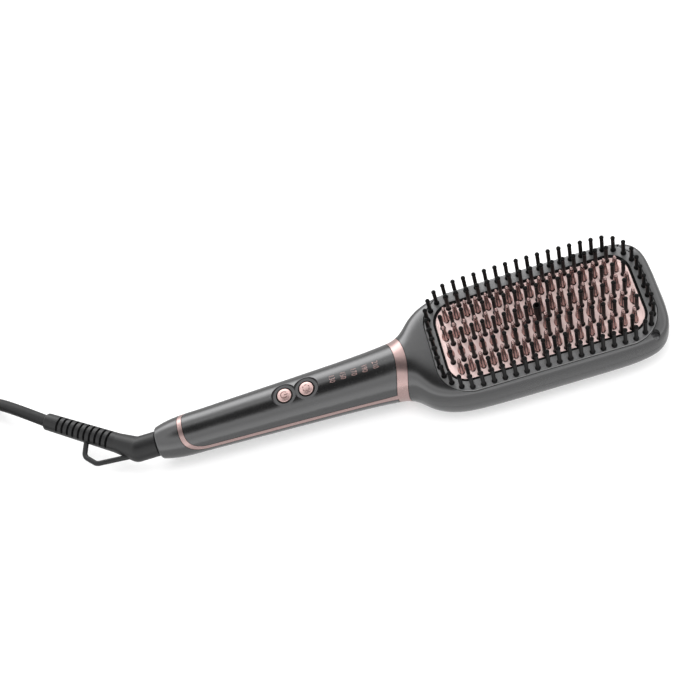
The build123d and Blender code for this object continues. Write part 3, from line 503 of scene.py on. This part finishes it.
def bar(shape, start, end, width, thickness):
    made = bmesh.ops.create_cube(shape, size=1)["verts"]
    middle = ((start[0] + end[0]) / 2 * mm, (start[1] + end[1]) / 2 * mm, 0)
    along = Vector((end[0] - start[0], end[1] - start[1], 0))
    bmesh.ops.scale(shape, verts=made, vec=(along.length * mm, width * mm, thickness * mm))
    turned = Matrix.Rotation(math.atan2(along.y, along.x), 3, "Z")
    bmesh.ops.rotate(shape, verts=made, cent=(0, 0, 0), matrix=turned)
    bmesh.ops.translate(shape, verts=made, vec=middle)


def markShape(kind):
    shape = bmesh.new()
    radius, width, thick = (button[key] for key in ("markRadius", "markWidth", "markThickness"))
    if kind == "power":
        start, end, steps = button["powerArc"]
        arcBand(shape, radius, width, start, end, thick, steps)
        bar(shape, *button["powerBar"], width, thick)
    else:
        start, end, steps = button["modeArc"]
        for i in range(button["modeArcs"]):
            turned = 360 / button["modeArcs"] * i
            arcBand(shape, radius, width, turned + start, turned + end, thick, steps)
    return shape


for kind in ("power", "mode"):
    low, high, centre = buttonPlace(kind)
    cap = spunShape(capProfile(low / mm, high / mm), centre, button["steps"])
    capMesh = finishShape(f"{kind}Cap", cap)
    linkPiece(f"{kind}Cap", capMesh, roseButton, f"{kind}_button", [f"{kind}_button"])
    mark = markShape(kind)
    for vert in mark.verts:
        away = math.hypot(vert.co.x, vert.co.y) / mm
        vert.co.z += high - button["dome"] * (away / button["radius"]) ** 2 * mm
        vert.co.x += centre[0]
        vert.co.y += centre[1]
    markMesh = finishShape(f"{kind}Mark", mark)
    linkPiece(f"{kind}Mark", markMesh, iconBrown, f"{kind}_button")
print("buttons made")

# black seals in the dishes, round the buttons
dishSeal = {
    "inner": 4.25,
    "outer": 4.85,
    "thickness": 0.12,
    "steps": 48,
    "beside": 0.3,  # how far outside the ring the dish's floor is read
}


def makeSeals():
    heightAt = surfaceUnder("handle_top_cover")
    together = bmesh.new()
    for kind in ("power", "mode"):
        centre = buttonPlace(kind)[2]
        reach = dishSeal["outer"] + dishSeal["beside"]
        floor = heightAt(centre[0], centre[1] + reach * mm) / mm
        section = [
            (dishSeal["inner"], floor - dishSeal["thickness"]),
            (dishSeal["outer"], floor - dishSeal["thickness"]),
            (dishSeal["outer"], floor + dishSeal["thickness"]),
            (dishSeal["inner"], floor + dishSeal["thickness"]),
            (dishSeal["inner"], floor - dishSeal["thickness"]),
        ]
        ring = bpy.data.meshes.new("dishSeal")
        spun = spunShape(section, centre, dishSeal["steps"])
        spun.to_mesh(ring)
        spun.free()
        together.from_mesh(ring)
    linkPiece("dishSeals", finishShape("dishSeals", together), sealBlack, "root")


makeSeals()

# temperature numbers on the cover, read from the side
numbers = {
    "words": ("130", "150", "170", "190", "210"),
    "behindRing": (36.0, 29.6, 23.2, 16.9, 10.5),
    "ringX": -4.0,
    "size": 4.7,
    "narrowing": 0.68,
    "thickness": 0.05,
    "thinning": 0.14,
    "curveSteps": 3,
}


def numberMesh(word, x, heightAt):
    text = bpy.data.curves.new(word, "FONT")
    text.body = word
    text.size = numbers["size"] * mm
    text.align_x = "CENTER"
    text.align_y = "CENTER"
    text.extrude = numbers["thickness"] / 2 * mm
    text.resolution_u = numbers["curveSteps"]
    text.offset = -numbers["thinning"] * mm
    holder = bpy.data.objects.new(word, text)
    shape = bmesh.new()
    shape.from_mesh(bpy.data.meshes.new_from_object(holder))
    bmesh.ops.remove_doubles(shape, verts=shape.verts, dist=weld)
    bmesh.ops.scale(shape, verts=shape.verts, vec=(numbers["narrowing"], 1, 1))
    quarter = Matrix.Rotation(-math.pi / 2, 3, "Z")
    bmesh.ops.rotate(shape, verts=shape.verts, cent=(0, 0, 0), matrix=quarter)
    bmesh.ops.translate(shape, verts=shape.verts, vec=(x * mm, 0, 0))
    for vert in shape.verts:
        vert.co.z += heightAt(vert.co.x, vert.co.y)
    mesh = bpy.data.meshes.new(word)
    shape.to_mesh(mesh)
    shape.free()
    return mesh


coverHeight = surfaceUnder("handle_top_cover")
marks = bmesh.new()
for word, place in zip(numbers["words"], numbers["behindRing"]):
    marks.from_mesh(numberMesh(word, numbers["ringX"] - place, coverHeight))
linkPiece("temperatureMarks", finishShape("temperatureMarks", marks), printPink, "root")
print("numbers made")

# heating teeth: fluted fins that spread where they meet the plate, with near-black strips down
# their flutes as painted shade
teeth = {
    "pitch": 6.1,
    "middle": 79.2,
    "rows": ((5.6, 18), (16.8, 17)),
    "plateTop": 30.8,
    "faceTop": 32.0,
    "height": 13.2,
    "crownDrop": 3.2,
    "crownReach": 52.0,
    "foot": (3.1, 1.8),
    "tip": (1.4, 0.95),
    "sides": 36,
    "flutes": 6,
    "fluteDepth": 0.30,
    "smoothAngle": 50,
    # share of the height, spread, share of the flute's depth
    "levels": (
        (0.0, 1.14, 0.0),
        (0.03, 1.02, 0.5),
        (0.10, 1.0, 1.0),
        (0.40, 1.0, 1.0),
        (0.72, 1.0, 1.0),
        (0.86, 1.0, 0.5),
        (0.94, 0.94, 0.0),
        (0.985, 0.66, 0.0),
        (1.0, 0.28, 0.0),
    ),
    # painted shade lines down the flutes, dark strips where the grooves fall into shade: half the
    # width at the foot and at the top, and the depth
    "shadeLines": {
        "foot": 0.62,
        "top": 0.32,
        "deep": 0.2,
        "levels": (0.04, 0.10, 0.40, 0.72, 0.88),
        "smoothAngle": 30,
    },
}


def toothMesh():
    shape = bmesh.new()
    ring = bmesh.ops.create_circle(shape, cap_ends=False, radius=1, segments=teeth["sides"])
    loops = [ring["verts"]]
    edges = list(shape.edges)
    for _ in teeth["levels"][1:]:
        made = bmesh.ops.extrude_edge_only(shape, edges=edges)["geom"]
        edges = [item for item in made if isinstance(item, bmesh.types.BMEdge)]
        edges = [edge for edge in edges if all(vert in made for vert in edge.verts)]
        loops.append([item for item in made if isinstance(item, bmesh.types.BMVert)])
    for loop, (share, spread, flute) in zip(loops, teeth["levels"]):
        wide, deep = (
            (foot + (tip - foot) * share) * spread for foot, tip in zip(teeth["foot"], teeth["tip"])
        )
        for vert in loop:
            angle = math.atan2(vert.co.y, vert.co.x)
            cut = 0.5 - 0.5 * math.cos(teeth["flutes"] * angle)
            size = 1 - teeth["fluteDepth"] * flute * cut
            vert.co = (deep * math.sin(angle) * size, wide * math.cos(angle) * size, share)
    openTop = [e for e in shape.edges if e.is_boundary and e.verts[0].co.z > 0.5]
    bmesh.ops.contextual_create(shape, geom=openTop)
    openFoot = [e for e in shape.edges if e.is_boundary]
    bmesh.ops.contextual_create(shape, geom=openFoot)
    bmesh.ops.scale(shape, verts=shape.verts, vec=(mm, mm, 1))
    return finishShape("tooth", shape, teeth["smoothAngle"])


# Dark strips in each flute's hollow, painted shade where the groove lies in shadow.
def shadeLineMesh():
    shape = bmesh.new()
    shadeLines = teeth["shadeLines"]
    for flute in range(teeth["flutes"]):
        angle = math.radians((flute + 0.5) * 360 / teeth["flutes"])
        rows = []
        for share in shadeLines["levels"]:
            wide, deep = (
                (foot + (tip - foot) * share) * (1 - teeth["fluteDepth"])
                for foot, tip in zip(teeth["foot"], teeth["tip"])
            )
            middle = Vector((deep * math.sin(angle), wide * math.cos(angle), 0))
            out = Vector((math.sin(angle) / deep, math.cos(angle) / wide, 0)).normalized()
            along = Vector((-out.y, out.x, 0))
            half = shadeLines["foot"] + (shadeLines["top"] - shadeLines["foot"]) * share
            row = []
            for side, lift in ((-1, -1), (1, -1), (1, 1), (-1, 1)):
                place = middle + along * side * half + out * lift * shadeLines["deep"]
                row.append(shape.verts.new((place.x * mm, place.y * mm, share)))
            rows.append(row)
        for low, high in zip(rows, rows[1:]):
            for i in range(4):
                shape.faces.new((low[i], low[(i + 1) % 4], high[(i + 1) % 4], high[i]))
        shape.faces.new(rows[0])
        shape.faces.new(rows[-1])
    return finishShape("toothShadeLines", shape, shadeLines["smoothAngle"])


def repeatTeeth(single):
    together = bmesh.new()
    for y, count in teeth["rows"]:
        for i in range(count):
            dx = (i - (count - 1) / 2) * teeth["pitch"]
            crown = teeth["crownDrop"] * (dx / teeth["crownReach"]) ** 2
            tall = teeth["faceTop"] + teeth["height"] - crown - teeth["plateTop"]
            for side in (-1, 1):
                copy = single.copy()
                place = Vector(((teeth["middle"] + dx) * mm, side * y * mm, teeth["plateTop"] * mm))
                copy.transform(Matrix.Translation(place) @ Matrix.Diagonal((1, 1, tall * mm, 1)))
                together.from_mesh(copy)
    return together


fins = finishShape("heatingFins", repeatTeeth(toothMesh()), teeth["smoothAngle"])
linkPiece("heatingFins", fins, toothPink, "root", ["heating_teeth"])
# the strips in the flutes are painted shade, not a part of the teeth
shadeLineAngle = teeth["shadeLines"]["smoothAngle"]
finShadeLines = finishShape("finShadeLines", repeatTeeth(shadeLineMesh()), shadeLineAngle)
linkPiece("finShadeLines", finShadeLines, paintedGrooveShade, "root")
print("teeth made")

# plate rim, a low step just inside the plate's edge, and the seal's lip over that edge
rim = {"inset": 0.75, "width": 0.9, "height": 0.35, "sink": 0.1, "corner": 11.5, "segments": 12}
lip = {"inset": -0.8, "width": 1.3, "height": 1.05, "sink": 0.1, "corner": 11.5, "segments": 12}


def borderMesh(name, border):
    low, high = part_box("heating_plate")
    shape = bmesh.new()
    grid = bmesh.ops.create_grid(shape, x_segments=1, y_segments=1, size=1)["verts"]
    half = [(high[i] - low[i]) / 2 - border["inset"] * mm for i in (0, 1)]
    middle = [(high[i] + low[i]) / 2 for i in (0, 1)]
    bmesh.ops.scale(shape, verts=grid, vec=(half[0], half[1], 1))
    bmesh.ops.translate(shape, verts=grid, vec=(*middle, high[2] - border["sink"] * mm))
    bmesh.ops.bevel(
        shape,
        geom=list(shape.verts),
        offset=(border["corner"] - border["inset"]) * mm,
        segments=border["segments"],
        profile=0.5,
        affect="VERTICES",
        material=-1,
    )
    inner = list(shape.faces)
    bmesh.ops.inset_region(
        shape, faces=inner, thickness=border["width"] * mm, use_boundary=True, use_even_offset=True
    )
    bmesh.ops.delete(shape, geom=inner, context="FACES_ONLY")
    tall = (border["height"] + border["sink"]) * mm
    made = bmesh.ops.extrude_face_region(shape, geom=list(shape.faces), use_keep_orig=True)["geom"]
    lifted = [item for item in made if isinstance(item, bmesh.types.BMVert)]
    bmesh.ops.translate(shape, verts=lifted, vec=(0, 0, tall))
    return finishShape(name, shape)


linkPiece("plateRim", borderMesh("plateRim", rim), platePink, "root")
linkPiece("sealLip", borderMesh("sealLip", lip), sealBlack, "root")
print("plate rim made")


# floor, backdrop and light
studio = {
    "floorSize": 3.0,
    "floorColour": (0.8, 0.8, 0.8),
    "floorRough": 0.9,
    "floorGlow": 0.22,
    "plainLevel": 0.92,
    # what polished surfaces see, from the floor's edge up to the dark panel overhead
    "darkPanel": (0.0, -0.05, 0.999),
    "dome": (
        (0.0, 1.15),
        (0.38, 1.0),
        (0.62, 0.74),
        (0.84, 0.86),
        (0.895, 0.50),
        (0.935, 0.08),
        (1.0, 0.0),
    ),
    "backGlow": (0.62, 0.88, 1.7),
    "glowRise": (0.02, 0.30),
    "floorMirror": 0.62,
    "aim": (0.03, 0, 0.02),
    # each lamp: its place, its two sides and its power
    "lamps": {
        "backSoft": ((-0.15, 0.55, 0.75), (0.5, 0.4), 5.5),
        "frontSoft": ((0.25, -0.75, 0.65), (0.7, 0.5), 3.5),
        "topSoft": ((0.08, -0.08, 0.9), (0.4, 0.3), 2.2),
    },
}


def mathNode(tree, operation, first, second):
    node = addNode(tree, "ShaderNodeMath", operation=operation)
    for socket, value in zip(node.inputs, (first, second)):
        if isinstance(value, float):
            socket.default_value = value
        else:
            tree.links.new(value, socket)
    return node.outputs[0]


def stageFloor():
    mesh = bpy.data.meshes.new("floor")
    shape = bmesh.new()
    bmesh.ops.create_grid(shape, x_segments=1, y_segments=1, size=studio["floorSize"])
    shape.to_mesh(mesh)
    shape.free()
    floor = bpy.data.objects.new("floor", mesh)
    bpy.context.scene.collection.objects.link(floor)
    material, tree, shader = newMaterial("floorWhite")
    shader.inputs["Base Color"].default_value = (*studio["floorColour"], 1)
    shader.inputs["Roughness"].default_value = studio["floorRough"]
    shader.inputs["Specular IOR Level"].default_value = 0.0
    path = addNode(tree, "ShaderNodeLightPath")
    glow = mathNode(tree, "MULTIPLY", path.outputs["Is Camera Ray"], studio["floorGlow"])
    shader.inputs["Emission Color"].default_value = (1, 1, 1, 1)
    tree.links.new(glow, shader.inputs["Emission Strength"])
    dim = addNode(tree, "ShaderNodeEmission", Strength=studio["floorMirror"])
    mix = addNode(tree, "ShaderNodeMixShader")
    tree.links.new(path.outputs["Is Glossy Ray"], mix.inputs["Fac"])
    tree.links.new(shader.outputs["BSDF"], mix.inputs[1])
    tree.links.new(dim.outputs["Emission"], mix.inputs[2])
    tree.links.new(mix.outputs["Shader"], tree.nodes["Material Output"].inputs["Surface"])
    mesh.materials.append(material)


# The studio: plain light all round, while polished tops see a dark ceiling and a bright back panel.
def studioWorld():
    world = bpy.data.worlds.new("studio")
    bpy.context.scene.world = world
    world.use_nodes = True
    tree = world.node_tree
    background = tree.nodes["Background"]
    coords = addNode(tree, "ShaderNodeTexCoord")
    split = addNode(tree, "ShaderNodeSeparateXYZ")
    tree.links.new(coords.outputs["Generated"], split.inputs["Vector"])
    ramp = addNode(tree, "ShaderNodeValToRGB")
    stops = ramp.color_ramp
    first, *middle, last = studio["dome"]
    for element, (place, level) in zip(stops.elements, (first, last)):
        element.position = place
        element.color = (level, level, level, 1)
    for place, level in middle:
        stops.elements.new(place).color = (level, level, level, 1)
    overhead = addNode(tree, "ShaderNodeVectorMath", operation="DOT_PRODUCT")
    overhead.inputs[1].default_value = studio["darkPanel"]
    tree.links.new(coords.outputs["Generated"], overhead.inputs[0])
    tree.links.new(overhead.outputs["Value"], ramp.inputs["Fac"])
    near, far, extra = studio["backGlow"]
    panel = addNode(tree, "ShaderNodeMapRange", interpolation_type="SMOOTHSTEP")
    setRange(panel, near, far, 0, extra)
    tree.links.new(split.outputs["Y"], panel.inputs["Value"])
    rise = addNode(tree, "ShaderNodeMapRange", interpolation_type="SMOOTHSTEP")
    setRange(rise, *studio["glowRise"])
    tree.links.new(split.outputs["Z"], rise.inputs["Value"])
    risen = mathNode(tree, "MULTIPLY", panel.outputs["Result"], rise.outputs["Result"])
    polished = mathNode(tree, "ADD", ramp.outputs["Color"], risen)
    path = addNode(tree, "ShaderNodeLightPath")
    straight = [path.outputs[f"Is {kind} Ray"] for kind in ("Camera", "Transmission")]
    seen = mathNode(tree, "MAXIMUM", *straight)
    lifted = mathNode(tree, "MULTIPLY_ADD", seen, 1 - studio["plainLevel"])
    lifted.node.inputs[2].default_value = studio["plainLevel"]
    mix = addNode(tree, "ShaderNodeMix", data_type="FLOAT")
    tree.links.new(path.outputs["Is Glossy Ray"], mix.inputs["Factor"])
    tree.links.new(lifted, mix.inputs["A"])
    tree.links.new(polished, mix.inputs["B"])
    tree.links.new(mix.outputs["Result"], background.inputs["Color"])
    background.inputs["Strength"].default_value = 1.0


stageFloor()
studioWorld()
for name, (place, size, power) in studio["lamps"].items():
    lamp = bpy.data.lights.new(name, "AREA")
    lamp.shape = "RECTANGLE"
    lamp.size, lamp.size_y = size
    lamp.energy = power
    holder = bpy.data.objects.new(name, lamp)
    holder.location = place
    holder.visible_glossy = False
    aim = Vector(studio["aim"]) - holder.location
    holder.rotation_euler = aim.to_track_quat("-Z", "Y").to_euler()
    bpy.context.scene.collection.objects.link(holder)
print("studio made")
